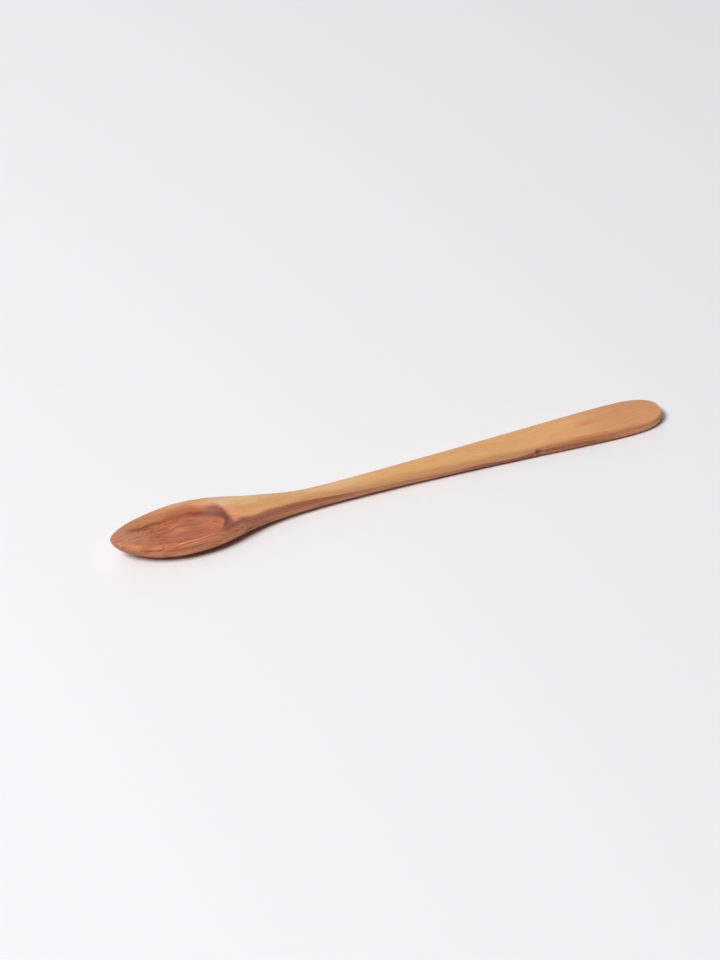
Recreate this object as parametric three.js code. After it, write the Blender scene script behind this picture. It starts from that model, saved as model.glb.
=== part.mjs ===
// Jam spoon carved from one piece of olive wood.
// Millimetres, +Z up. It lies on the plane z = 0 with its bowl towards -X and its handle towards +X.
// The origin is under the middle of the spoon's length, on the plane that it rests on.
import * as THREE from 'three';

// Overall length, and places along it measured from the tip of the bowl
const OVERALL_LENGTH = 220;
const BOWL_WIDEST_FROM_TIP = 28.7;
const NECK_FROM_TIP = 85.3;
const RIM_MIDDLE_FROM_TIP = 20;
const RIM_BACK_FROM_TIP = 46;
const KEEL_FRONT_FROM_TIP = 24.5;
const KEEL_BACK_FROM_TIP = 40;

// Places measured back from the end of the handle
const HANDLE_WIDEST_FROM_END = 16.8;
const HANDLE_SEAT_FROM_END = 55;

// Widths seen from above
const BOWL_WIDTH = 24.4;
const NECK_WIDTH = 7.1;
const HANDLE_WIDTH = 16.5;
const TIP_BLUNTNESS = 4.45;
const END_BLUNTNESS = 6.6;

// Heights above the plane that the spoon rests on
const TIP_HEIGHT = 8.4;
const RIM_HEIGHT_AT_TIP = 8.9;
const RIM_HEIGHT_AT_MIDDLE = 8.35;
const RIM_HEIGHT_AT_BACK = 8.2;
const NECK_TOP_HEIGHT = 7.45;
const NECK_UNDERSIDE_HEIGHT = 0.6;
const HANDLE_END_THICKNESS = 4.1;

// How far in from the tip and the end the top and the underside round over
const TIP_ROUND_LENGTH = 4;
const END_ROUND_LENGTH = 0.6;
const END_HEEL_LENGTH = 2;

// The hollow of the bowl
const HOLLOW_FRONT_FROM_TIP = 3.5;
const HOLLOW_DEEPEST_FROM_TIP = 33;
const HOLLOW_BACK_FROM_TIP = 50;
const BOWL_FLOOR_THICKNESS = 3.3;
const RIM_WIDTH = 1;
const HOLLOW_ROUNDNESS = 2.2;
const RIM_SOFTNESS = 1.5;

// Depth of wood sanded off flat where the bowl and the handle touch the table
const SEAT_TRIM = 0.15;

// Fullness of each curve: the share of its stretch over which it stays level at either end
const BOWL_FRONT_FULLNESS = 0.49;
const BOWL_BACK_FULLNESS = 0.35;
const NECK_FRONT_FULLNESS = 0.68;
const NECK_BACK_FULLNESS = 0.51;
const HANDLE_FULLNESS = 0.2;
const END_FULLNESS = 0.54;
const KEEL_FULLNESS = 0.6;
const HANDLE_TOP_FULLNESS = 0.4;
const HANDLE_TOP_SLOPE_SHARE = 0.3;
const EVEN_FULLNESS = 0.5;
const HOLLOW_END_FULLNESS = 0.35;
const TIP_UNDERCUT_SHARE = 0.5;

// Cross-sections are superellipses. Level is the height of the widest point as a share of the thickness.
const BOWL_SECTION = { level: 0.62, upper: 6.2, lower: 2.25 };
const NECK_SECTION = { level: 0.45, upper: 2.3, lower: 3 };
const HANDLE_SECTION = { level: 0.55, upper: 7, lower: 4 };
const NECK_SECTION_LEAD = 10;

// Facets
const STEPS_BOWL_FRONT = 16;
const STEPS_BOWL_BACK = 22;
const STEPS_HANDLE = 16;
const STEPS_HANDLE_END = 12;
const STEPS_AROUND = 40;

const handleWidest = OVERALL_LENGTH - HANDLE_WIDEST_FROM_END;
const handleSeat = OVERALL_LENGTH - HANDLE_SEAT_FROM_END;
const endTopRound = OVERALL_LENGTH - END_ROUND_LENGTH;
const endHeel = OVERALL_LENGTH - END_HEEL_LENGTH;
const endHeight = HANDLE_END_THICKNESS / 2;

// Carries a profile on to a point, level where it leaves and level where it arrives.
function levelTo(path, x, y, leave, arrive) {
  const from = path.currentPoint.clone();
  const reach = x - from.x;
  path.bezierCurveTo(from.x + leave * reach, from.y, x - arrive * reach, y, x, y);
}

// Half of the outline seen from above: a leaf-shaped bowl, a slim neck and a handle widening to a round end.
function planOutline() {
  const path = new THREE.Path();
  const bowlHalf = BOWL_WIDTH / 2;
  const handleHalf = HANDLE_WIDTH / 2;
  const frontX = BOWL_WIDEST_FROM_TIP * (1 - BOWL_FRONT_FULLNESS);
  const endX = handleWidest + END_FULLNESS * HANDLE_WIDEST_FROM_END;
  path.moveTo(0, 0);
  path.bezierCurveTo(0, TIP_BLUNTNESS, frontX, bowlHalf, BOWL_WIDEST_FROM_TIP, bowlHalf);
  levelTo(path, NECK_FROM_TIP, NECK_WIDTH / 2, BOWL_BACK_FULLNESS, NECK_FRONT_FULLNESS);
  levelTo(path, handleWidest, handleHalf, NECK_BACK_FULLNESS, HANDLE_FULLNESS);
  path.bezierCurveTo(endX, handleHalf, OVERALL_LENGTH, END_BLUNTNESS, OVERALL_LENGTH, 0);
  return path;
}

// Top of the spoon seen from the side: the rim of the bowl, the neck, and the handle falling to its end.
function topLine() {
  const path = new THREE.Path();
  const tipX = TIP_ROUND_LENGTH * EVEN_FULLNESS;
  const run = endTopRound - NECK_FROM_TIP;
  const fall = NECK_TOP_HEIGHT - HANDLE_END_THICKNESS;
  const leaveX = NECK_FROM_TIP + HANDLE_TOP_FULLNESS * run;
  const arriveX = endTopRound - HANDLE_TOP_SLOPE_SHARE * run;
  const arriveZ = HANDLE_END_THICKNESS + HANDLE_TOP_SLOPE_SHARE * fall;
  const overX = endTopRound + EVEN_FULLNESS * END_ROUND_LENGTH;
  path.moveTo(0, TIP_HEIGHT);
  path.bezierCurveTo(0, RIM_HEIGHT_AT_TIP, tipX, RIM_HEIGHT_AT_TIP, TIP_ROUND_LENGTH, RIM_HEIGHT_AT_TIP);
  levelTo(path, RIM_MIDDLE_FROM_TIP, RIM_HEIGHT_AT_MIDDLE, EVEN_FULLNESS, EVEN_FULLNESS);
  levelTo(path, RIM_BACK_FROM_TIP, RIM_HEIGHT_AT_BACK, EVEN_FULLNESS, EVEN_FULLNESS);
  levelTo(path, NECK_FROM_TIP, NECK_TOP_HEIGHT, EVEN_FULLNESS, EVEN_FULLNESS);
  path.bezierCurveTo(leaveX, NECK_TOP_HEIGHT, arriveX, arriveZ, endTopRound, HANDLE_END_THICKNESS);
  path.bezierCurveTo(
    overX, HANDLE_END_THICKNESS, OVERALL_LENGTH, HANDLE_END_THICKNESS, OVERALL_LENGTH, endHeight);
  return path;
}

// Underside seen from the side. It dips just under the table plane where the wood is sanded flat.
function undersideLine() {
  const path = new THREE.Path();
  const keelX = KEEL_FRONT_FROM_TIP * (1 - KEEL_FULLNESS);
  const heelX = endHeel + EVEN_FULLNESS * END_HEEL_LENGTH;
  path.moveTo(0, TIP_HEIGHT);
  path.bezierCurveTo(0, TIP_HEIGHT * TIP_UNDERCUT_SHARE, keelX, -SEAT_TRIM, KEEL_FRONT_FROM_TIP, -SEAT_TRIM);
  path.lineTo(KEEL_BACK_FROM_TIP, -SEAT_TRIM);
  levelTo(path, NECK_FROM_TIP, NECK_UNDERSIDE_HEIGHT, EVEN_FULLNESS, EVEN_FULLNESS);
  levelTo(path, handleSeat, -SEAT_TRIM, EVEN_FULLNESS, EVEN_FULLNESS);
  path.lineTo(endHeel, -SEAT_TRIM);
  path.bezierCurveTo(heelX, -SEAT_TRIM, OVERALL_LENGTH, -SEAT_TRIM, OVERALL_LENGTH, endHeight);
  return path;
}

// Half of the hollow's edge seen from above, inside the outline by the width of the rim.
function hollowEdge() {
  const path = new THREE.Path();
  const half = BOWL_WIDTH / 2 - RIM_WIDTH;
  const frontX = BOWL_WIDEST_FROM_TIP - BOWL_FRONT_FULLNESS * (BOWL_WIDEST_FROM_TIP - HOLLOW_FRONT_FROM_TIP);
  const backX = BOWL_WIDEST_FROM_TIP + EVEN_FULLNESS * (HOLLOW_BACK_FROM_TIP - BOWL_WIDEST_FROM_TIP);
  path.moveTo(HOLLOW_FRONT_FROM_TIP, 0);
  path.bezierCurveTo(HOLLOW_FRONT_FROM_TIP, TIP_BLUNTNESS, frontX, half, BOWL_WIDEST_FROM_TIP, half);
  path.bezierCurveTo(backX, half, HOLLOW_BACK_FROM_TIP, half * EVEN_FULLNESS, HOLLOW_BACK_FROM_TIP, 0);
  return path;
}

// Floor of the hollow along the middle of the bowl: a long slope from the tip and a steeper back wall.
function hollowFloor() {
  const path = new THREE.Path();
  path.moveTo(HOLLOW_FRONT_FROM_TIP, RIM_HEIGHT_AT_TIP);
  levelTo(path, HOLLOW_DEEPEST_FROM_TIP, BOWL_FLOOR_THICKNESS, HOLLOW_END_FULLNESS, EVEN_FULLNESS);
  levelTo(path, HOLLOW_BACK_FROM_TIP, RIM_HEIGHT_AT_BACK, EVEN_FULLNESS, HOLLOW_END_FULLNESS);
  return path;
}

// Value of a profile at a distance from the tip, found by halving the interval along its curve.
function valueAt(profile, distance) {
  let low = 0;
  let high = 1;
  while (high - low > Number.EPSILON) {
    const middle = (low + high) / 2;
    if (profile.getPoint(middle).x < distance) {
      low = middle;
    } else {
      high = middle;
    }
  }
  return profile.getPoint(low).y;
}

// A section value at a distance from the tip, eased from the bowl through the neck to the handle.
function sectionValue(key, distance) {
  const left = THREE.MathUtils.smoothstep(distance, RIM_BACK_FROM_TIP, NECK_FROM_TIP - NECK_SECTION_LEAD);
  const gripped = THREE.MathUtils.smoothstep(distance, NECK_FROM_TIP, handleWidest);
  const slim = THREE.MathUtils.lerp(BOWL_SECTION[key], NECK_SECTION[key], left);
  return THREE.MathUtils.lerp(slim, HANDLE_SECTION[key], gripped);
}

// Distances from the tip at which a section is cut, with the half width there; close together at both ends.
function stationsAlong(outline) {
  const steps = [STEPS_BOWL_FRONT, STEPS_BOWL_BACK, STEPS_HANDLE, STEPS_HANDLE_END];
  const stations = [];
  outline.curves.forEach((curve, index) => {
    for (let step = 1; step <= steps[index]; step += 1) {
      stations.push(curve.getPoint(step / steps[index]));
    }
  });
  stations.pop();
  return stations;
}

// One closed section across the spoon, as points from the far side over the top to the near side and back.
function sectionRing(station, profiles) {
  const distance = station.x;
  const half = station.y;
  const top = valueAt(profiles.top, distance);
  const underside = valueAt(profiles.underside, distance);
  const widest = THREE.MathUtils.lerp(underside, top, sectionValue('level', distance));
  const upper = sectionValue('upper', distance);
  const lower = sectionValue('lower', distance);
  const inHollow = distance > HOLLOW_FRONT_FROM_TIP && distance < HOLLOW_BACK_FROM_TIP;
  const edge = inHollow ? valueAt(profiles.hollowEdge, distance) : 0;
  const floor = inHollow ? valueAt(profiles.hollowFloor, distance) : top;
  const ring = [];
  for (let step = 0; step < STEPS_AROUND; step += 1) {
    const angle = (2 * Math.PI * step) / STEPS_AROUND;
    const share = Math.abs(Math.cos(angle));
    const isUpper = angle < Math.PI;
    const power = isUpper ? upper : lower;
    const rise = (1 - share ** power) ** (1 / power);
    const y = half * Math.cos(angle);
    let z = isUpper ? widest + (top - widest) * rise : widest - (widest - underside) * rise;
    if (isUpper && Math.abs(y) < edge && floor < z) {
      z -= (z - floor) * (1 - (Math.abs(y) / edge) ** HOLLOW_ROUNDNESS) ** RIM_SOFTNESS;
    }
    ring.push(new THREE.Vector3(distance - OVERALL_LENGTH / 2, y, Math.max(z, 0)));
  }
  return ring;
}

// Skin of the spoon: the rings joined one to the next, and closed on a point at the tip and at the end.
function spoonGeometry() {
  const outline = planOutline();
  const profiles = {
    top: topLine(),
    underside: undersideLine(),
    hollowEdge: hollowEdge(),
    hollowFloor: hollowFloor(),
  };
  const rings = stationsAlong(outline).map((station) => sectionRing(station, profiles));
  const points = [new THREE.Vector3(-OVERALL_LENGTH / 2, 0, TIP_HEIGHT)];
  rings.forEach((ring) => points.push(...ring));
  points.push(new THREE.Vector3(OVERALL_LENGTH / 2, 0, endHeight));
  const faces = [];
  const last = points.length - 1;
  const corner = (ring, step) => 1 + ring * STEPS_AROUND + (step % STEPS_AROUND);
  for (let step = 0; step < STEPS_AROUND; step += 1) {
    faces.push(0, corner(0, step + 1), corner(0, step));
    for (let ring = 0; ring < rings.length - 1; ring += 1) {
      faces.push(corner(ring, step), corner(ring, step + 1), corner(ring + 1, step + 1));
      faces.push(corner(ring, step), corner(ring + 1, step + 1), corner(ring + 1, step));
    }
    faces.push(last, corner(rings.length - 1, step), corner(rings.length - 1, step + 1));
  }
  const geometry = new THREE.BufferGeometry().setFromPoints(points);
  geometry.setIndex(faces);
  geometry.computeVertexNormals();
  return geometry;
}

const oliveWood = new THREE.MeshStandardMaterial({ color: 0xd8a673, roughness: 0.5, metalness: 0 });
const spoonBody = new THREE.Mesh(spoonGeometry(), oliveWood);
spoonBody.name = 'spoon_body';

const jamSpoon = new THREE.Group();
jamSpoon.name = 'jam_spoon';
jamSpoon.add(spoonBody);

export default jamSpoon;
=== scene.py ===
"""Jam spoon carved from one piece of olive wood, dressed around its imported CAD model.

Metres, with +Z up. +X runs from the tip of the bowl to the end of the handle, and the spoon lies on the
table at z = 0. The skin repeats the CAD loft on a much finer grid and adds what is too small for the solid:
the pin knot in the near side of the handle, the crisp arris round its end and slightly softer lower edges.
"""

import math

import bpy
import numpy as np
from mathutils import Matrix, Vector


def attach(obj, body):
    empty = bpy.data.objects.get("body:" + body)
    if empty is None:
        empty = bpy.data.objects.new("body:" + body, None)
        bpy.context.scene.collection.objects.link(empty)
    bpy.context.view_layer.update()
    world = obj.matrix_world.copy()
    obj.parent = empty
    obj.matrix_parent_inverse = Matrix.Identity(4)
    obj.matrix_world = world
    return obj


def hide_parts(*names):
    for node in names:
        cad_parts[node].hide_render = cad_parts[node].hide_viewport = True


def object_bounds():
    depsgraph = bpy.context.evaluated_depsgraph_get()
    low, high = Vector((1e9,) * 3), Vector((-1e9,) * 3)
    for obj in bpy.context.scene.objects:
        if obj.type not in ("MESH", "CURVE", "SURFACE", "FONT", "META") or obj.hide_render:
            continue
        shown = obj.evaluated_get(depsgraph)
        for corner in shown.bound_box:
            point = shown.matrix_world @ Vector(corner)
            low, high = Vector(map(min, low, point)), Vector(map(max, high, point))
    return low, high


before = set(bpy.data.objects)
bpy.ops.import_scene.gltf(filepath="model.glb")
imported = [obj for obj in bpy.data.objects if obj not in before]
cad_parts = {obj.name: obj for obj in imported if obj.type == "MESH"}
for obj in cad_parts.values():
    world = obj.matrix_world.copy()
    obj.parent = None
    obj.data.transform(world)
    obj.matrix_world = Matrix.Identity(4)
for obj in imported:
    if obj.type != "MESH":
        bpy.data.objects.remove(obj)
cad_low, cad_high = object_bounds()

# The drawing is in millimetres, measured from the tip of the bowl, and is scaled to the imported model
DRAWN_LENGTH = 220.0
MM = (cad_high.x - cad_low.x) / DRAWN_LENGTH
TIP_X = cad_low.x
DRAWN_HEIGHT = (cad_high.z - cad_low.z) / MM

# Outline seen from above
BOWL_WIDEST_AT = 28.7
NECK_AT = 85.3
HANDLE_WIDEST_AT = 203.2
BOWL_HALF_WIDTH = 12.2
NECK_HALF_WIDTH = 3.55
HANDLE_HALF_WIDTH = 8.25
TIP_BLUNTNESS = 4.45
END_BLUNTNESS = 6.6
BOWL_FRONT_FULLNESS = 0.49
BOWL_BACK_FULLNESS = 0.35
NECK_FRONT_FULLNESS = 0.68
NECK_BACK_FULLNESS = 0.51
HANDLE_FULLNESS = 0.2
END_FULLNESS = 0.54

# Top line and underside seen from the side
TIP_HEIGHT = 8.4
RIM_TIP_HEIGHT = 8.9
RIM_MIDDLE_AT = 20.0
RIM_MIDDLE_HEIGHT = 8.35
RIM_BACK_AT = 46.0
RIM_BACK_HEIGHT = 8.2
NECK_TOP_HEIGHT = 7.45
NECK_UNDERSIDE_HEIGHT = 0.6
END_THICKNESS = 4.1
TIP_ROUND = 4.0
END_ROUND = 0.6
END_HEEL = 2.0
KEEL_FROM = 24.5
KEEL_TO = 40.0
HANDLE_SEAT_AT = 165.0
SEAT_TRIM = 0.15
KEEL_FULLNESS = 0.6
HANDLE_TOP_FULLNESS = 0.4
HANDLE_TOP_SLOPE_SHARE = 0.3
EVEN = 0.5

# Hollow of the bowl
HOLLOW_FROM = 3.5
HOLLOW_DEEPEST_AT = 33.0
HOLLOW_TO = 50.0
BOWL_FLOOR_THICKNESS = 3.3
RIM_WIDTH = 1.0
HOLLOW_ROUNDNESS = 2.2
RIM_SOFTNESS = 1.5
HOLLOW_END_FULLNESS = 0.35
LEAST_WIDTH = 1e-6

# Sections: share of the height at which they are widest, and how square they are above and below it
BOWL_SECTION = (0.62, 6.2, 2.25)
NECK_SECTION = (0.45, 2.3, 2.6)
HANDLE_SECTION = (0.55, 7.0, 3.8)
END_SECTION = (0.55, 12.0, 4.0)
NECK_SECTION_LEAD = 10.0
END_SECTION_LEAD = 20.0

# Pin knot chipped out of the near side of the handle, steeper on the side towards the bowl
KNOT_AT = 165.9
KNOT_HEIGHT = 2.9
KNOT_HALF_LENGTH = 1.9
KNOT_HALF_HEIGHT = 1.1
KNOT_SLOPE = -0.4
KNOT_DEPTH = 0.9
KNOT_STEEPNESS = 2.0
KNOT_BELL = 1.5
KNOT_GRID_REACH = 1.6 * KNOT_HALF_LENGTH

# Grid of the skin
STATIONS = (110, 120, 130, 64)
KNOT_STATIONS = 30
POINTS_AROUND = 192
SIDE_SPREAD = 0.4
CURVE_SAMPLES = 1500

# Camera at the photograph's angle; the picture is 720 by 960
CAMERA_AZIMUTH = -22.163
CAMERA_ELEVATION = 40.0
CAMERA_DISTANCE = 0.9
CAMERA_TARGET = (-0.01119, 0.007099, 0.0)
CAMERA_LENS = 90.70
CAMERA_SENSOR = 36.0

# Pale floor, in metres, and the lamps: name, direction from the spoon, width in metres and watts
FLOOR_REACH = 8.0
FLOOR_COLOUR = (0.8, 0.8, 0.81, 1.0)
FLOOR_ROUGHNESS = 0.9
FLOOR_GLOSS = 0.1
LAMP_DISTANCE = 3.0
LAMPS = [
    ("left_key", (-0.5926, -0.1907, 0.7826), 1.28, 91.5),
    ("top_light", (-0.309, 0.126, 0.943), 3.2, 23.0),
    ("back_light", (0.112, 0.887, 0.448), 3.0, 17.5),
]
SURROUND_WHITE = (1.0, 1.0, 1.0, 1.0)
SURROUND_STRENGTH = 0.04

# Curve from the values that a picture shows to linear light
SHOWN_FULL = 255.0
SHOWN_DARK_LIMIT = 0.04045
SHOWN_DARK_SLOPE = 12.92
SHOWN_LIFT = 0.055
SHOWN_CURVE = 2.4

# Places of the colour sockets on a Mix node, and the middle of the spoon as a share of its length
MIX_SHARE = 0
MIX_FIRST = 6
MIX_SECOND = 7
MIX_RESULT = 2
MIDDLE_SHARE = 0.5


def smooth(low, high, value):
    """Share of the way from low to high, eased at both ends: 3 t squared minus 2 t cubed."""
    t = np.clip((value - low) / (high - low), 0.0, 1.0)
    return t * t * (3.0 - 2.0 * t)


def level_span(start, end, leave, arrive):
    """Control points of a curve that leaves start and reaches end level, by shares of the reach between."""
    reach = end[0] - start[0]
    return [(start[0] + leave * reach, start[1]), (end[0] - arrive * reach, end[1]), end]


def straight_span(start, end):
    """Control points of a straight line, a third of the way apart."""
    ends = np.array([start, end], dtype=float)
    return [tuple(ends[0] * 2 / 3 + ends[1] / 3), tuple(ends[0] / 3 + ends[1] * 2 / 3), end]


def curve_spans(start, spans):
    """Chain of cubic Bezier spans, one array of points for each: the sum of its four points, weighted
    by (1 - t) cubed, 3 t (1 - t) squared, 3 t squared (1 - t) and t cubed."""
    t = np.linspace(0.0, 1.0, CURVE_SAMPLES)[:, None]
    weights = np.hstack([(1 - t) ** 3, 3 * t * (1 - t) ** 2, 3 * t ** 2 * (1 - t), t ** 3])
    starts = [start] + [span[-1] for span in spans[:-1]]
    return [weights @ np.array([begin, *span], dtype=float) for begin, span in zip(starts, spans)]


def value_at(spans, along):
    """Height of a chain of spans above each distance along the spoon."""
    points = np.vstack(spans)
    return np.interp(along, points[:, 0], points[:, 1])


def outline_spans():
    """Half width seen from above: blunt tip, swelling bowl, slim neck, widening handle, blunt end."""
    widest = (BOWL_WIDEST_AT, BOWL_HALF_WIDTH)
    neck = (NECK_AT, NECK_HALF_WIDTH)
    grip = (HANDLE_WIDEST_AT, HANDLE_HALF_WIDTH)
    end_reach = DRAWN_LENGTH - HANDLE_WIDEST_AT
    tip = [(0.0, TIP_BLUNTNESS), (BOWL_WIDEST_AT * (1 - BOWL_FRONT_FULLNESS), BOWL_HALF_WIDTH), widest]
    end = [(HANDLE_WIDEST_AT + END_FULLNESS * end_reach, HANDLE_HALF_WIDTH),
           (DRAWN_LENGTH, END_BLUNTNESS), (DRAWN_LENGTH, 0.0)]
    return curve_spans((0.0, 0.0), [
        tip,
        level_span(widest, neck, BOWL_BACK_FULLNESS, NECK_FRONT_FULLNESS),
        level_span(neck, grip, NECK_BACK_FULLNESS, HANDLE_FULLNESS),
        end,
    ])


def top_spans():
    """Top line from the side: rim of the bowl, down along the neck, and on to the thin end of the handle."""
    tip = (TIP_ROUND, RIM_TIP_HEIGHT)
    middle = (RIM_MIDDLE_AT, RIM_MIDDLE_HEIGHT)
    back = (RIM_BACK_AT, RIM_BACK_HEIGHT)
    neck = (NECK_AT, NECK_TOP_HEIGHT)
    edge = (DRAWN_LENGTH - END_ROUND, END_THICKNESS)
    run = edge[0] - NECK_AT
    drop = HANDLE_TOP_SLOPE_SHARE * (NECK_TOP_HEIGHT - END_THICKNESS)
    return curve_spans((0.0, TIP_HEIGHT), [
        [(0.0, RIM_TIP_HEIGHT), (TIP_ROUND / 2, RIM_TIP_HEIGHT), tip],
        level_span(tip, middle, EVEN, EVEN),
        level_span(middle, back, EVEN, EVEN),
        level_span(back, neck, EVEN, EVEN),
        [(NECK_AT + HANDLE_TOP_FULLNESS * run, NECK_TOP_HEIGHT),
         (edge[0] - HANDLE_TOP_SLOPE_SHARE * run, END_THICKNESS + drop), edge],
        [(DRAWN_LENGTH - END_ROUND / 2, END_THICKNESS), (DRAWN_LENGTH, END_THICKNESS),
         (DRAWN_LENGTH, END_THICKNESS / 2)],
    ])


def underside_spans():
    """Underside from the side: down from the tip, flat keel, arch under the neck, flat seat, small heel."""
    keel_from = (KEEL_FROM, -SEAT_TRIM)
    keel_to = (KEEL_TO, -SEAT_TRIM)
    arch = (NECK_AT, NECK_UNDERSIDE_HEIGHT)
    seat = (HANDLE_SEAT_AT, -SEAT_TRIM)
    heel = (DRAWN_LENGTH - END_HEEL, -SEAT_TRIM)
    return curve_spans((0.0, TIP_HEIGHT), [
        [(0.0, TIP_HEIGHT / 2), (KEEL_FROM * (1 - KEEL_FULLNESS), -SEAT_TRIM), keel_from],
        straight_span(keel_from, keel_to),
        level_span(keel_to, arch, EVEN, EVEN),
        level_span(arch, seat, EVEN, EVEN),
        straight_span(seat, heel),
        [(DRAWN_LENGTH - END_HEEL / 2, -SEAT_TRIM), (DRAWN_LENGTH, -SEAT_TRIM),
         (DRAWN_LENGTH, END_THICKNESS / 2)],
    ])


def hollow_spans():
    """Edge of the hollow seen from above, and its floor seen from the side."""
    half = BOWL_HALF_WIDTH - RIM_WIDTH
    front_reach = BOWL_WIDEST_AT - HOLLOW_FROM
    back_reach = HOLLOW_TO - BOWL_WIDEST_AT
    edge = curve_spans((HOLLOW_FROM, 0.0), [
        [(HOLLOW_FROM, TIP_BLUNTNESS), (BOWL_WIDEST_AT - BOWL_FRONT_FULLNESS * front_reach, half),
         (BOWL_WIDEST_AT, half)],
        [(BOWL_WIDEST_AT + EVEN * back_reach, half), (HOLLOW_TO, half / 2), (HOLLOW_TO, 0.0)],
    ])
    front = (HOLLOW_FROM, RIM_TIP_HEIGHT)
    deepest = (HOLLOW_DEEPEST_AT, BOWL_FLOOR_THICKNESS)
    back = (HOLLOW_TO, RIM_BACK_HEIGHT)
    floor = curve_spans(front, [
        level_span(front, deepest, HOLLOW_END_FULLNESS, EVEN),
        level_span(deepest, back, EVEN, HOLLOW_END_FULLNESS),
    ])
    return edge, floor


def stations_along():
    """Distances from the tip at which sections are cut: even steps of each outline span's own parameter,
    which crowd together at the blunt tip and end, and a close set over the pin knot."""
    steps = [np.linspace(0, CURVE_SAMPLES - 1, count + 1).round().astype(int) for count in STATIONS]
    outline = np.concatenate([span[step, 0] for span, step in zip(outline_spans(), steps)])
    outline = outline[np.abs(outline - KNOT_AT) > KNOT_GRID_REACH]
    knot = np.linspace(KNOT_AT - KNOT_GRID_REACH, KNOT_AT + KNOT_GRID_REACH, KNOT_STATIONS)
    return np.unique(np.concatenate([outline, knot]))


def section_shapes(along):
    """Widest level, and squareness above and below it, of the sections at each distance along the spoon:
    those of the bowl, neck, handle and end, each mixed into the next by an eased share."""
    to_neck = smooth(RIM_BACK_AT, NECK_AT - NECK_SECTION_LEAD, along)[:, None]
    to_handle = smooth(NECK_AT, HANDLE_WIDEST_AT, along)[:, None]
    to_end = smooth(HANDLE_WIDEST_AT - END_SECTION_LEAD, DRAWN_LENGTH, along)[:, None]
    section = np.array(BOWL_SECTION) * (1 - to_neck) + np.array(NECK_SECTION) * to_neck
    section = section * (1 - to_handle) + np.array(HANDLE_SECTION) * to_handle
    section = section * (1 - to_end) + np.array(END_SECTION) * to_end
    return section.T


def spoon_skin(along, angle):
    """Skin of the spoon, as points for each distance along it and each angle round it, in millimetres.

    A section is a superellipse: its point lies in the direction of the angle, at the distance
    (|cos|^n + |sin|^n)^(-1/n), stretched to the half width and to the heights above and below its widest
    level. The hollow lowers the upper side towards its floor by (1 - (|y| / edge)^roundness)^softness. The
    pin knot pushes the near side in by a lopsided bell, e to the power of minus (x squared + z squared)^bell.
    Nothing goes below the table.
    """
    half = value_at(outline_spans(), along)
    top = value_at(top_spans(), along)
    underside = value_at(underside_spans(), along)
    edge_spans, floor_spans = hollow_spans()
    edge = value_at(edge_spans, along)
    floor = value_at(floor_spans, along)
    level, upper_square, lower_square = section_shapes(along)

    widest = underside + (top - underside) * level
    c = np.cos(angle)[None, :]
    s = np.sin(angle)[None, :]
    square = np.where(s > 0, upper_square[:, None], lower_square[:, None])
    reach = (np.abs(c) ** square + np.abs(s) ** square) ** (-1 / square)
    height = np.where(s > 0, (top - widest)[:, None], (widest - underside)[:, None])
    y = half[:, None] * reach * c
    z = widest[:, None] + height * reach * s

    in_hollow = (along[:, None] > HOLLOW_FROM) & (along[:, None] < HOLLOW_TO) & (s > 0)
    across = np.abs(y) / np.maximum(edge[:, None], LEAST_WIDTH)
    bowl_curve = (1 - np.minimum(across, 1.0) ** HOLLOW_ROUNDNESS) ** RIM_SOFTNESS
    sink = np.maximum(z - floor[:, None], 0.0) * bowl_curve
    z = z - np.where(in_hollow, sink, 0.0)

    knot_x = (along[:, None] - KNOT_AT) / KNOT_HALF_LENGTH
    knot_x = np.where(knot_x < 0, knot_x * KNOT_STEEPNESS, knot_x)
    knot_z = (z - KNOT_HEIGHT - KNOT_SLOPE * (along[:, None] - KNOT_AT)) / KNOT_HALF_HEIGHT
    chip = np.exp(-(knot_x ** 2 + knot_z ** 2) ** KNOT_BELL)
    y = y + np.where(c < 0, KNOT_DEPTH * chip, 0.0)

    x = np.broadcast_to(along[:, None], y.shape)
    return np.stack([x, y, np.clip(z, 0.0, DRAWN_HEIGHT)], axis=-1)


def skin_mesh(name, rings, first, last):
    """Closed mesh from rings of points: quads between neighbouring rings, and a fan at each pole."""
    count, around = rings.shape[:2]
    points = np.vstack([rings.reshape(-1, 3), first[None], last[None]])
    row = np.arange(count - 1)[:, None] * around
    here = np.arange(around)[None, :]
    there = (here + 1) % around
    quads = np.stack([row + here, row + there, row + around + there, row + around + here], axis=-1)
    pole = count * around
    final = (count - 1) * around
    front = np.stack([np.full(around, pole), there[0], here[0]], axis=-1)
    back = np.stack([np.full(around, pole + 1), final + here[0], final + there[0]], axis=-1)
    mesh = bpy.data.meshes.new(name)
    mesh.from_pydata(points.tolist(), [], quads.reshape(-1, 4).tolist() + front.tolist() + back.tolist())
    mesh.polygons.foreach_set("use_smooth", np.ones(len(mesh.polygons), dtype=bool))
    mesh.update()
    return mesh


def make_spoon():
    """The whole spoon as one piece, in metres and in the part's frame."""
    along = stations_along()
    turn = np.linspace(0.0, 2 * math.pi, POINTS_AROUND, endpoint=False)
    angle = turn + SIDE_SPREAD / 2 * np.sin(2 * turn)
    points = spoon_skin(along, angle) * MM + np.array([TIP_X, 0.0, cad_low.z])
    mesh = skin_mesh("jam_spoon", points[1:-1], points[0].mean(axis=0), points[-1].mean(axis=0))
    spoon = bpy.data.objects.new("jam_spoon", mesh)
    bpy.context.collection.objects.link(spoon)
    return spoon


def paint(red, green, blue):
    """Linear colour, with full alpha, from the 0 to 255 values that a picture shows: dark shares of 255 are
    divided by a slope, and lighter ones become ((share + lift) / (1 + lift)) to the power of the curve."""
    shown = np.array([red, green, blue]) / SHOWN_FULL
    light = ((shown + SHOWN_LIFT) / (1 + SHOWN_LIFT)) ** SHOWN_CURVE
    linear = np.where(shown <= SHOWN_DARK_LIMIT, shown / SHOWN_DARK_SLOPE, light)
    return (*linear.tolist(), 1.0)


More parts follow.
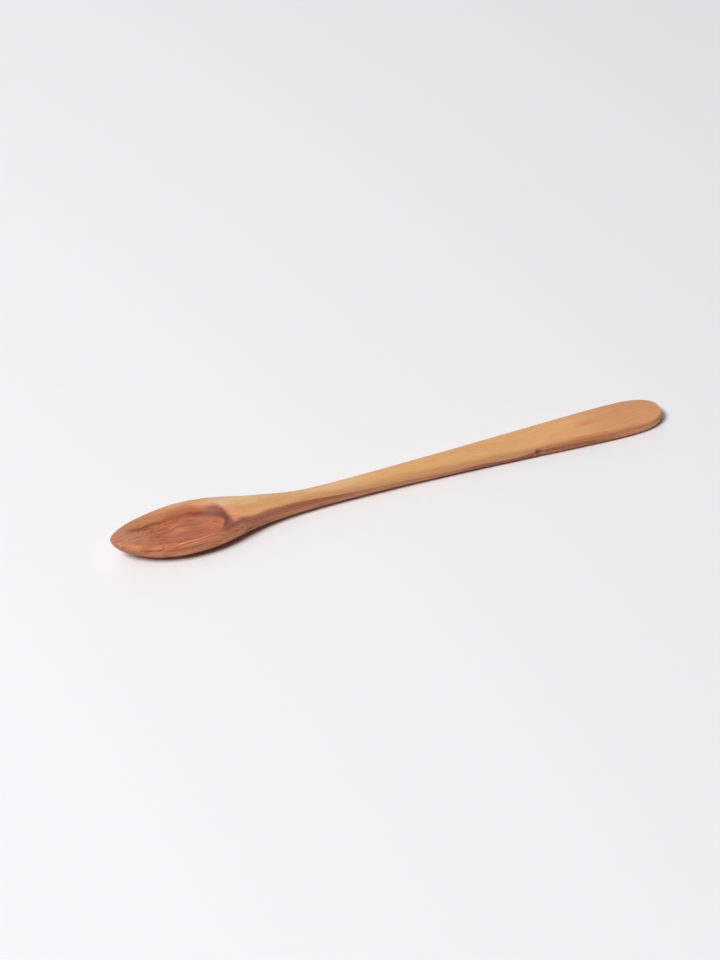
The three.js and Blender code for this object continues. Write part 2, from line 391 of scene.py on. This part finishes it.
def put(tree, kind, inputs=None, **settings):
    """Adds a node. Each input takes a value, or a link where it is given another node's output."""
    node = tree.nodes.new(kind)
    for name, value in settings.items():
        setattr(node, name, value)
    for name, value in (inputs or {}).items():
        if isinstance(value, bpy.types.NodeSocket):
            tree.links.new(value, node.inputs[name])
        else:
            node.inputs[name].default_value = value
    return node


def reckon(tree, operation, *values):
    """Output of a Math node on the given values or outputs."""
    return put(tree, "ShaderNodeMath", dict(enumerate(values)), operation=operation).outputs[0]


def ease(tree, value, low, high, from_value=0.0, to_value=1.0):
    """Output that goes from one value to another, eased at both ends by 3 t squared minus 2 t cubed, as the
    given value goes from low to high."""
    return put(tree, "ShaderNodeMapRange", {
        "Value": value, "From Min": low, "From Max": high, "To Min": from_value, "To Max": to_value,
    }, interpolation_type="SMOOTHSTEP").outputs["Result"]


def distance_in(tree, spot, direction):
    """How far a place lies in a direction: the sum of the products of their coordinates."""
    node = put(tree, "ShaderNodeVectorMath", {0: spot, 1: direction}, operation="DOT_PRODUCT")
    return node.outputs["Value"]


def grain(tree, spot, lengths, detail=2.0, roughness=0.5):
    """Noise stretched to the given lengths in millimetres along, across and through the wood."""
    stretched = put(tree, "ShaderNodeVectorMath", {0: spot, 1: tuple(1 / v for v in lengths)},
                    operation="MULTIPLY").outputs[0]
    return put(tree, "ShaderNodeTexNoise", {
        "Vector": stretched, "Scale": 1.0, "Detail": detail, "Roughness": roughness, "Distortion": 0.0,
    }).outputs["Fac"]


def ramp(tree, value, stops, interpolation="LINEAR"):
    """Colour for a value between 0 and 1, from (place, colour) stops."""
    node = put(tree, "ShaderNodeValToRGB", {"Fac": value})
    node.color_ramp.interpolation = interpolation
    elements = node.color_ramp.elements
    while len(elements) < len(stops):
        elements.new(1.0)
    for element, (place, colour) in zip(elements, stops):
        element.position = place
        element.color = colour
    return node.outputs["Color"]


def along_spoon(tree, x, stops):
    """Colour that changes along the spoon, from (millimetres from the middle, colour) stops."""
    share = reckon(tree, "MULTIPLY_ADD", x, 1 / DRAWN_LENGTH, MIDDLE_SHARE)
    shares = [(place / DRAWN_LENGTH + MIDDLE_SHARE, paint(*colour)) for place, colour in stops]
    return ramp(tree, share, shares)


def follow(tree, place, stops):
    """Smooth curve through (place, value) stops in millimetres, level beyond both ends."""
    places, values = np.array(stops, dtype=float).T
    low, reach = values.min(), np.ptp(values)
    share = put(tree, "ShaderNodeMapRange", {"Value": place, "From Min": places[0], "From Max": places[-1]})
    spread = (places - places[0]) / np.ptp(places)
    grey = [(at, (level, level, level, 1.0)) for at, level in zip(spread, (values - low) / reach)]
    curve = ramp(tree, share.outputs["Result"], grey, "CARDINAL")
    return reckon(tree, "MULTIPLY_ADD", curve, reach, low)


def streak(tree, place, off, path, width, strength):
    """Strength of a streak along a path of (place, distance off) points, fading sideways and at both ends."""
    away = reckon(tree, "ABSOLUTE", reckon(tree, "SUBTRACT", off, follow(tree, place, path)))
    body = ease(tree, away, width * STREAK_CORE, width, strength, 0.0)
    fade = STREAK_FADE * (path[-1][0] - path[0][0])
    body = reckon(tree, "MULTIPLY", body, ease(tree, place, path[0][0], path[0][0] + fade))
    return reckon(tree, "MULTIPLY", body, ease(tree, place, path[-1][0] - fade, path[-1][0], 1.0, 0.0))


def mound(tree, spot, centre, radii, height):
    """Height that falls smoothly to nothing from a centre to an ellipsoid round it, in millimetres."""
    offset = put(tree, "ShaderNodeVectorMath", {0: spot, 1: centre}, operation="SUBTRACT").outputs[0]
    scaled = put(tree, "ShaderNodeVectorMath", {0: offset, 1: radii}, operation="DIVIDE").outputs[0]
    away = put(tree, "ShaderNodeVectorMath", {0: scaled}, operation="LENGTH").outputs["Value"]
    return ease(tree, away, 0.0, 1.0, height, 0.0)


def mix(tree, share, first, second, blend="MIX"):
    """Colour between two colours by a share: first times (1 - share) plus second times share."""
    inputs = {MIX_SHARE: share, MIX_FIRST: first, MIX_SECOND: second}
    node = put(tree, "ShaderNodeMix", inputs, data_type="RGBA", blend_type=blend)
    return node.outputs[MIX_RESULT]


def tint(tree, colour, value, stops):
    """Colour multiplied by a tint that depends on a value, from (value, tint) stops."""
    shade = ramp(tree, value, [(place, (*tone, 1.0)) for place, tone in stops])
    return mix(tree, 1.0, colour, shade, "MULTIPLY")


def stain_spots(tree, colour, spot, spots):
    """Colour with soft round spots laid over it in turn, from (centre, radii, strength, tone) rows."""
    for centre, radii, strength, tone in spots:
        colour = mix(tree, mound(tree, spot, centre, radii, strength), colour, paint(*tone))
    return colour


def stain_streaks(tree, colour, place, off, mask, streaks):
    """Colour with streaks laid over it in turn inside a mask, from (path, width, strength, tone) rows."""
    for path, width, strength, tone in streaks:
        share = reckon(tree, "MULTIPLY", streak(tree, place, off, path, width, strength), mask)
        colour = mix(tree, share, colour, paint(*tone))
    return colour


# Olive wood: the heartwood lies under a tilted plane, height = level + slopes times x and y, in millimetres
HEART_LEVEL = 3.09
HEART_SLOPE_ALONG = -0.05
HEART_SLOPE_ACROSS = -0.25

# How far the heartwood rises above that plane, how far its red halo reaches up and its dark edge down, and
# how far the lines of growth bend across the spoon, as (place along the spoon, millimetres)
HEART_RISE = [
    (-110, 1.0), (-103, 1.0), (-98, 0.55), (-94, 0.3), (-89.5, -0.1), (-85.5, 0.1), (-80, 0.45),
    (-76.5, 0.4), (-73, 0.0), (-69, 0.0), (-66, -0.2), (-63, 0.25), (-60, 0.25), (-56, 0.4), (-50, 0.7),
    (-36, 0.2), (-27, -0.2), (-20, -0.5), (0, -0.5), (16, -0.25), (34, 0.1), (47, 0.1), (53, 1.0),
    (66, 1.6), (92, 1.2),
]
HALO_REACH = [
    (-110, 0.5), (-97, 0.5), (-93, 0.7), (-89, 0.95), (-86.5, 1.5), (-82, 1.9), (-78.5, 2.0), (-75, 1.6),
    (-73, 1.7), (-70.5, 2.3), (-68, 2.5), (-66, 1.8), (-64.5, 0.9), (-62, 0.6), (-58, 0.5), (-40, 0.6),
    (-27, 0.7), (-8, 0.7), (16, 0.4), (45, 0.35), (56, 1.1), (92, 1.4),
]
EDGE_REACH = [
    (-110, 0.35), (-88, 0.4), (-84, 1.2), (-78, 1.8), (-70, 1.8), (-66, 1.3), (-62, 1.5), (-58, 1.8),
    (-54, 3.0), (-42, 3.5), (-27, 2.0), (-8, 1.3), (12, 1.2), (30, 2.0), (92, 2.1),
]
GRAIN_BEND = [
    (-110, -3.0), (-100, -1.0), (-90, 1.0), (-80, 2.2), (-72, 1.8), (-66, -0.6), (-58, -2.0), (-45, -1.0),
    (-20, 0.0),
]

# Grain: lengths of its noise along, across and through the wood, the two directions that its layers follow,
# and how far it sways and swells round a small eye in the bowl, in millimetres
SWAY_LENGTHS = (26.0, 6.0, 6.0)
LINE_LENGTHS = (26.0, 0.75, 1.8)
DASH_LENGTHS = (9.0, 0.3, 0.6)
BAND_LENGTHS = (30.0, 2.6, 4.0)
FIBRE_LENGTHS = (9.0, 0.3, 0.3)
LINE_ROUGHNESS = 0.55
DASH_DETAIL = 1.0
NOISE_MIDDLE = 0.5
ACROSS_LAYERS = (0.0, 0.8, 0.9)
THROUGH_LAYERS = (0.0, -0.5, 0.85)
GRAIN_SWAY = 2.4
GRAIN_EYE = ((-76.6, 2.6, 3.6), (7.5, 4.5, 5.0), 1.3)

# How far the grain moves the edge of the heartwood, in millimetres, and where one wood fades into another
EDGE_SWAY = 0.4
EDGE_RAGGEDNESS = 1.1
EDGE_BREAKS = 0.5
OUTER_SAPWOOD_FADE = (1.6, 3.0)
EDGE_FADE = (0.15, 1.0)
HALO_FADE = (0.5, 1.3)
HALO_START = (0.0, 0.6)
ROSE_BAND_FADE = (0.5, 0.64, 0.0, 0.75)
TOP_FACE = (4.5, 5.5)
NEAR_WALL = (-7.5, -6.5, 1.0, 0.0)
EVERYWHERE = 1.0
STREAK_CORE = 0.5
STREAK_FADE = 0.15

# Tints of the grain, as (noise, share of red, green and blue that is left)
UNTINTED = (1.0, 1.0, 1.0)
SAPWOOD_BANDS = [(0.35, (0.95, 0.93, 0.90)), (0.6, UNTINTED)]
SAPWOOD_DASHES = [(0.3, (0.95, 0.93, 0.91)), (0.45, UNTINTED)]
HEART_LINES = [(0.33, (0.7, 0.61, 0.56)), (0.44, (0.93, 0.91, 0.88)), (0.53, UNTINTED)]
HEART_DASHES = [(0.28, (0.8, 0.7, 0.64)), (0.42, UNTINTED), (0.58, UNTINTED), (0.7, (1.08, 1.08, 1.08))]
FIBRE_SHADES = [(0.3, (0.9, 0.88, 0.86)), (0.55, UNTINTED)]

# Satin of the oil, rougher between the fibres, and their faint relief in millimetres
SATIN_ROUGHNESS = (0.25, 0.75, 0.58, 0.46)
OIL_IOR = 1.47
OIL_GLOSS = 0.3
FIBRE_RELIEF = 0.05
RELIEF_STRENGTH = 0.25

# Colours of the oiled wood, and of the light and shade painted on it, as the values that a picture shows
PALE_STRAW = (220, 178, 130)
PALE_GOLD = (218, 166, 111)
GOLD = (211, 157, 106)
ORANGE_GOLD = (230, 167, 117)
BRIGHT_GOLD = (221, 167, 114)
HONEY = (210, 150, 104)
DULL_GOLD = (213, 156, 110)
# Painted sheen on the far rim at the back of the hollow
PALE_RIM_SHEEN = (212, 170, 134)
TAWNY = (201, 136, 94)
BRONZE = (186, 122, 84)
LIGHT_BROWN = (216, 147, 108)
WARM_BROWN = (206, 133, 95)
RED_BROWN = (200, 122, 87)
BRICK = (184, 110, 78)
DARK_BROWN = (182, 118, 87)
DUSK_BROWN = (170, 108, 80)
UMBER = (166, 96, 67)
CHESTNUT = (172, 103, 74)
DEEP_UMBER = (148, 80, 54)
DARK_RED = (139, 72, 51)
MAROON = (174, 111, 85)
RUST = (198, 134, 95)
DUSKY_ROSE = (172, 104, 80)
TAN = (194, 137, 103)
OLIVE_TAN = (165, 112, 82)
# Painted light for the near wall of the bowl, in place of fill from the front
SANDY_PAINTED_LIGHT = (232, 160, 113)
SALMON = (218, 136, 98)
PEACH = (200, 140, 102)
WALNUT = (138, 84, 64)
DULL_TAN = (184, 123, 91)
BRIGHT_ORANGE = (220, 144, 98)
PURPLE_BROWN = (112, 62, 50)
DUSKY_RED = (136, 70, 53)
BLOOD_BROWN = (172, 99, 71)
FLECK_RED = (196, 122, 84)
ARRIS_BROWN = (192, 112, 77)
# Pin knot colours, partly the knot's own and partly painted shade on the walls of its chip
KNOT_BROWN_AND_SHADE = (92, 58, 42)
KNOT_GREY_AND_SHADE = (150, 112, 88)
# Painted highlight along the crest of the near rim
CREST_HIGHLIGHT = (228, 164, 118)
# Painted light for the lower near wall of the bowl
PALE_WALL_PAINTED_LIGHT = (224, 166, 128)

# Colours along the spoon, as (place, tone)
# The pale rim tone at -67 is a painted sheen on the far rim at the back of the hollow
OUTER_SAPWOOD = [
    (-110, BRONZE), (-104, BRONZE), (-96, TAWNY), (-84, DULL_GOLD), (-74, DULL_GOLD), (-67, PALE_RIM_SHEEN),
    (-60, PALE_STRAW), (-24, PALE_STRAW), (-8, PALE_GOLD), (36, PALE_GOLD), (52, BRIGHT_GOLD),
    (72, BRIGHT_GOLD), (92, HONEY),
]
INNER_SAPWOOD = [
    (-110, BRONZE), (-104, BRONZE), (-96, TAWNY), (-70, TAWNY), (-58, GOLD), (-22, GOLD), (0, ORANGE_GOLD),
    (48, ORANGE_GOLD), (60, TAWNY), (86, TAWNY), (100, ORANGE_GOLD),
]
HEARTWOOD = [
    (-110, DULL_TAN), (-104, DULL_TAN), (-97, RED_BROWN), (-85, RED_BROWN), (-78, BRICK), (-68, BRICK),
    (-64, WARM_BROWN), (-55, WARM_BROWN), (-42, LIGHT_BROWN), (20, LIGHT_BROWN), (34, DARK_BROWN),
    (48, DARK_BROWN), (56, LIGHT_BROWN), (88, LIGHT_BROWN), (98, ORANGE_GOLD),
]
HALO = [
    (-110, DULL_TAN), (-97, DULL_TAN), (-91, TAWNY), (-86, BRICK), (-78, BRICK), (-73, BLOOD_BROWN),
    (-69, DUSKY_RED), (-66.5, DUSKY_RED), (-64.5, TAWNY), (-40, TAWNY), (-20, ORANGE_GOLD),
    (48, ORANGE_GOLD), (58, TAWNY), (86, TAWNY), (100, ORANGE_GOLD),
]
HEART_EDGE = [
    (-110, DULL_TAN), (-104, DULL_TAN), (-101, DEEP_UMBER), (-92, DEEP_UMBER), (-87, UMBER), (-81, UMBER),
    (-77, DARK_RED), (-72, DARK_RED), (-69, PURPLE_BROWN), (-68, DARK_RED), (-65, WALNUT), (-61, WALNUT),
    (-56, MAROON), (-45, MAROON), (-28, UMBER), (-10, RUST), (20, RUST), (34, CHESTNUT), (78, CHESTNUT),
    (92, LIGHT_BROWN),
]

# Spots, as (centre, radii, strength, tone): patches, a paler tip, painted light on the near wall and painted
# shade and sheen in the hollow, in the heartwood; the back of the bowl and painted light on its near wall;
# flecks and pin knot of the handle
HEART_SPOTS_AND_PAINTED_LIGHT = [
    ((-70.5, 1.0, 4.5), (7.0, 5.0, 3.0), 0.55, DUSK_BROWN),
    ((-78.0, -0.3, 3.4), (4.5, 3.5, 2.0), 0.6, DUSKY_ROSE),
    ((-84.4, 2.1, 4.0), (5.0, 2.2, 2.0), 0.6, SALMON),
    # Painted shade with a grazing sheen along the near side of the hollow, in dusky rose
    ((-87.0, -2.0, 5.0), (8.0, 1.6, 2.0), 0.6, DUSKY_ROSE),
    ((-75.5, 3.6, 4.0), (5.0, 1.8, 2.0), 0.5, DUSK_BROWN),
    ((-101.0, -1.5, 8.2), (15.0, 5.0, 3.5), 0.9, TAN),
    # Painted light on the near wall of the bowl
    ((-72.0, -11.3, 5.0), (20.0, 4.5, 4.0), 1.0, SANDY_PAINTED_LIGHT),
    ((-97.0, -10.0, 5.5), (9.0, 4.0, 4.0), 0.7, BRIGHT_ORANGE),
    ((-104.0, -6.3, 8.0), (10.0, 2.6, 2.0), 0.8, BRIGHT_ORANGE),
]
BOWL_SPOTS_AND_PAINTED_LIGHT = [
    ((-68.6, -1.4, 5.5), (1.9, 2.2, 1.5), 0.7, OLIVE_TAN),
    ((-63.3, 0.5, 7.9), (5.0, 5.5, 3.0), 0.75, PEACH),
    # Painted light on the near wall where the bowl meets the neck
    ((-63.3, -8.6, 5.6), (5.0, 2.2, 1.8), 0.7, SANDY_PAINTED_LIGHT),
    # Painted light on the lower near wall of the bowl
    ((-86.0, -11.8, 4.4), (8.0, 3.0, 1.6), 0.6, PALE_WALL_PAINTED_LIGHT),
]
HANDLE_SPOTS_AND_KNOT_SHADE = [
    ((78.5, 0.4, 5.1), (7.0, 2.2, 1.5), 0.5, FLECK_RED),
    ((13.3, -0.1, 7.1), (4.0, 0.9, 1.5), 0.35, FLECK_RED),
    ((30.6, 0.3, 6.7), (4.0, 1.5, 1.5), 0.25, FLECK_RED),
    # Stain of the pin knot, partly painted shade on the steep and sloping walls of its chip
    ((56.7, -6.2, 2.3), (2.4, 1.6, 1.2), 0.7, KNOT_GREY_AND_SHADE),
    ((54.8, -6.4, 3.5), (0.9, 1.6, 1.5), 0.9, KNOT_BROWN_AND_SHADE),
]

# Paths of the streaks, in millimetres: the hook across the back of the bowl as (y, x), short dashes in the
# hollow, the painted shade line inside the near rim and the painted highlight along its crest as (x, y), the
# flame and the line on the near wall as (x, z), and the arris of the handle as (x, height above the
# heartwood)
HOOK_PATH = [(-7.0, -69.3), (-5.5, -68.6), (-4.0, -67.7), (-2.5, -67.0), (-0.8, -66.6), (0.6, -66.8),
             (2.0, -67.5), (3.6, -68.7)]
FAR_DASH_PATH = [(-89.5, 4.2), (-86.0, 4.85), (-82.0, 5.35)]
MIDDLE_DASH_PATH = [(-92.5, 1.7), (-89.0, 2.8), (-85.5, 3.9)]
TIP_DASH_PATH = [(-98.0, 2.2), (-95.5, 2.7), (-93.0, 3.1)]
# Painted shade on the inner slope of the near rim
RIM_SHADE_PATH = [(-106.0, -3.6), (-101.0, -5.6), (-97.0, -6.7), (-94.0, -7.6), (-90.0, -8.0), (-86.5, -7.6)]
# Painted highlight along the crest of the near rim
CREST_HIGHLIGHT_PATH = [(-89.0, -10.2), (-83.6, -10.15), (-79.0, -9.8), (-76.0, -9.2), (-73.0, -8.9)]
FLAME_PATH = [(-102.0, 7.0), (-98.0, 6.9), (-95.7, 6.85), (-94.3, 7.2), (-93.3, 7.9), (-92.4, 8.6)]
WALL_LINE_PATH = [(-94.5, 6.1), (-89.0, 6.5), (-84.5, 6.5), (-78.0, 6.9)]
ARRIS_PATH = [(68.0, 2.0), (80.0, 2.25), (97.0, 2.55), (102.0, 2.6)]

# Streaks, as (path, half width in millimetres, strength, tone)
HOOK_STREAKS = [(HOOK_PATH, 1.25, 0.95, PURPLE_BROWN)]
RIM_STREAKS_AND_PAINTED_LIGHT = [
    (FAR_DASH_PATH, 0.4, 0.6, DARK_RED),
    (MIDDLE_DASH_PATH, 0.4, 0.6, DARK_RED),
    (TIP_DASH_PATH, 0.4, 0.6, DARK_RED),
    # Painted shade inside the near rim, in dusky rose
    (RIM_SHADE_PATH, 1.0, 0.5, DUSKY_ROSE),
    # Painted highlight along the crest of the near rim
    (CREST_HIGHLIGHT_PATH, 0.6, 0.65, CREST_HIGHLIGHT),
]
WALL_STREAKS = [
    (FLAME_PATH, 0.4, 0.6, DARK_RED),
    (WALL_LINE_PATH, 0.4, 0.6, DARK_RED),
]
ARRIS_STREAKS = [(ARRIS_PATH, 0.8, 0.5, ARRIS_BROWN)]


def olive_wood():
    """Oiled olive wood: gold sapwood over red-brown heartwood with a dark edge where they meet, and painted
    light and shade.
    """
    material = bpy.data.materials.new("olive_wood")
    material.use_nodes = True
    tree = material.node_tree
    tree.nodes.clear()
    place = put(tree, "ShaderNodeTexCoord").outputs["Object"]
    spot = put(tree, "ShaderNodeVectorMath", {0: place, "Scale": 1 / MM}, operation="SCALE").outputs[0]
    x, y, z = put(tree, "ShaderNodeSeparateXYZ", {0: spot}).outputs
    on_top = ease(tree, z, *TOP_FACE)

    # Lines of growth: they run along the spoon, sway, and close round a small eye in the bowl
    sway = reckon(tree, "SUBTRACT", grain(tree, spot, SWAY_LENGTHS), NOISE_MIDDLE)
    across = distance_in(tree, spot, ACROSS_LAYERS)
    across = reckon(tree, "SUBTRACT", across, follow(tree, x, GRAIN_BEND))
    across = reckon(tree, "MULTIPLY_ADD", sway, GRAIN_SWAY, across)
    across = reckon(tree, "ADD", across, mound(tree, spot, *GRAIN_EYE))
    through = distance_in(tree, spot, THROUGH_LAYERS)
    layer = put(tree, "ShaderNodeCombineXYZ", {"X": x, "Y": across, "Z": through}).outputs[0]
    lines = grain(tree, layer, LINE_LENGTHS, roughness=LINE_ROUGHNESS)
    dashes = grain(tree, layer, DASH_LENGTHS, detail=DASH_DETAIL)
    bands = grain(tree, layer, BAND_LENGTHS)
    fibres = grain(tree, layer, FIBRE_LENGTHS)

    # Height above the edge of the heartwood, which sways and breaks with the grain
    above = distance_in(tree, spot, (-HEART_SLOPE_ALONG, -HEART_SLOPE_ACROSS, 1.0))
    above = reckon(tree, "ADD", above, -HEART_LEVEL)
    above = reckon(tree, "SUBTRACT", above, follow(tree, x, HEART_RISE))
    above = reckon(tree, "MULTIPLY_ADD", sway, EDGE_SWAY, above)
    ragged = reckon(tree, "SUBTRACT", lines, NOISE_MIDDLE)
    above = reckon(tree, "MULTIPLY_ADD", ragged, EDGE_RAGGEDNESS, above)
    broken = reckon(tree, "SUBTRACT", dashes, NOISE_MIDDLE)
    above = reckon(tree, "MULTIPLY_ADD", broken, EDGE_BREAKS, above)

    # Sapwood, paler away from the heartwood, with soft bands, faint dashes and a painted sheen on the far rim
    outer = ease(tree, above, *OUTER_SAPWOOD_FADE)
    sapwood = mix(tree, outer, along_spoon(tree, x, INNER_SAPWOOD), along_spoon(tree, x, OUTER_SAPWOOD))
    sapwood = tint(tree, sapwood, bands, SAPWOOD_BANDS)
    sapwood = tint(tree, sapwood, dashes, SAPWOOD_DASHES)

    # Heartwood with rosy bands, patches, a paler tip, broken dark lines, painted light on the near wall and
    # painted shade and sheen in the hollow
    heartwood = along_spoon(tree, x, HEARTWOOD)
    heartwood = mix(tree, ease(tree, bands, *ROSE_BAND_FADE), heartwood, paint(*DUSKY_ROSE))
    heartwood = stain_spots(tree, heartwood, spot, HEART_SPOTS_AND_PAINTED_LIGHT)
    heartwood = tint(tree, heartwood, lines, HEART_LINES)
    heartwood = tint(tree, heartwood, dashes, HEART_DASHES)

    # Dark edge, fading down into the heartwood and up through a red halo into the sapwood
    below = reckon(tree, "MULTIPLY", above, -1.0)
    below = reckon(tree, "DIVIDE", below, follow(tree, x, EDGE_REACH))
    colour = mix(tree, ease(tree, below, *EDGE_FADE), along_spoon(tree, x, HEART_EDGE), heartwood)
    halo = reckon(tree, "DIVIDE", above, follow(tree, x, HALO_REACH))
    halo_tone = mix(tree, on_top, along_spoon(tree, x, INNER_SAPWOOD), along_spoon(tree, x, HALO))
    halo = mix(tree, ease(tree, halo, *HALO_FADE), halo_tone, sapwood)
    colour = mix(tree, ease(tree, above, *HALO_START), colour, halo)

    # Marks of the bowl: dark hook at its back, dashes, painted shade inside the near rim and a painted
    # highlight on its crest, painted light on the near wall, and lines on the near wall
    colour = stain_streaks(tree, colour, y, x, on_top, HOOK_STREAKS)
    colour = stain_streaks(tree, colour, x, y, on_top, RIM_STREAKS_AND_PAINTED_LIGHT)
    colour = stain_spots(tree, colour, spot, BOWL_SPOTS_AND_PAINTED_LIGHT)
    colour = stain_streaks(tree, colour, x, z, ease(tree, y, *NEAR_WALL), WALL_STREAKS)

    # Marks of the handle: dark arris, flecks, and the stain of its pin knot, partly painted shade inside its
    # chip
    colour = stain_streaks(tree, colour, x, above, EVERYWHERE, ARRIS_STREAKS)
    colour = stain_spots(tree, colour, spot, HANDLE_SPOTS_AND_KNOT_SHADE)

    # Fine fibres, the satin of the oil, and their faint relief
    colour = tint(tree, colour, fibres, FIBRE_SHADES)
    rough = ease(tree, fibres, *SATIN_ROUGHNESS)
    bump = put(tree, "ShaderNodeBump", {
        "Strength": RELIEF_STRENGTH, "Distance": FIBRE_RELIEF * MM, "Height": fibres,
    })
    skin = put(tree, "ShaderNodeBsdfPrincipled", {
        "Base Color": colour, "Roughness": rough, "Normal": bump.outputs["Normal"], "IOR": OIL_IOR,
        "Specular IOR Level": OIL_GLOSS,
    })
    put(tree, "ShaderNodeOutputMaterial", {"Surface": skin.outputs["BSDF"]})
    return material


def make_floor():
    """Plain pale table top, much wider than the view."""
    far = FLOOR_REACH
    mesh = bpy.data.meshes.new("pale_floor")
    corners = [(-far, -far, 0.0), (far, -far, 0.0), (far, far, 0.0), (-far, far, 0.0)]
    mesh.from_pydata(corners, [], [(0, 1, 2, 3)])
    floor = bpy.data.objects.new("pale_floor", mesh)
    floor.location.z = cad_low.z
    bpy.context.collection.objects.link(floor)
    material = bpy.data.materials.new("pale_floor")
    material.use_nodes = True
    skin = material.node_tree.nodes["Principled BSDF"]
    skin.inputs["Base Color"].default_value = FLOOR_COLOUR
    skin.inputs["Roughness"].default_value = FLOOR_ROUGHNESS
    skin.inputs["Specular IOR Level"].default_value = FLOOR_GLOSS
    mesh.materials.append(material)


def make_lamp(name, direction, width, power):
    """Round soft box that faces the spoon from a direction."""
    lamp = bpy.data.lights.new(name, "AREA")
    lamp.shape = "DISK"
    lamp.size = width
    lamp.energy = power
    holder = bpy.data.objects.new(name, lamp)
    towards = Vector(direction).normalized()
    holder.location = towards * LAMP_DISTANCE
    holder.rotation_euler = towards.to_track_quat("Z", "Y").to_euler()
    bpy.context.collection.objects.link(holder)


def make_light():
    """Soft key high on the left of the camera, broad light from above and behind, faint white surround."""
    for lamp in LAMPS:
        make_lamp(*lamp)
    world = bpy.data.worlds.new("white_surround")
    world.use_nodes = True
    back = world.node_tree.nodes["Background"]
    back.inputs["Color"].default_value = SURROUND_WHITE
    back.inputs["Strength"].default_value = SURROUND_STRENGTH
    bpy.context.scene.world = world
    bpy.context.scene.view_settings.view_transform = "Standard"


def make_camera():
    """Camera on the photograph's line of sight, level, with no shift and no depth of field."""
    azimuth = math.radians(CAMERA_AZIMUTH)
    elevation = math.radians(CAMERA_ELEVATION)
    back = Vector((math.sin(azimuth) * math.cos(elevation), -math.cos(azimuth) * math.cos(elevation),
                   math.sin(elevation)))
    lens = bpy.data.cameras.new("camera")
    lens.lens = CAMERA_LENS
    lens.sensor_width = CAMERA_SENSOR
    holder = bpy.data.objects.new("camera", lens)
    holder.location = Vector(CAMERA_TARGET) + back * CAMERA_DISTANCE
    holder.rotation_euler = back.to_track_quat("Z", "Y").to_euler()
    bpy.context.collection.objects.link(holder)
    bpy.context.scene.camera = holder


spoon = make_spoon()
spoon.data.materials.append(olive_wood())
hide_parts("spoon_body")
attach(spoon, "root")

make_floor()
make_light()
make_camera()
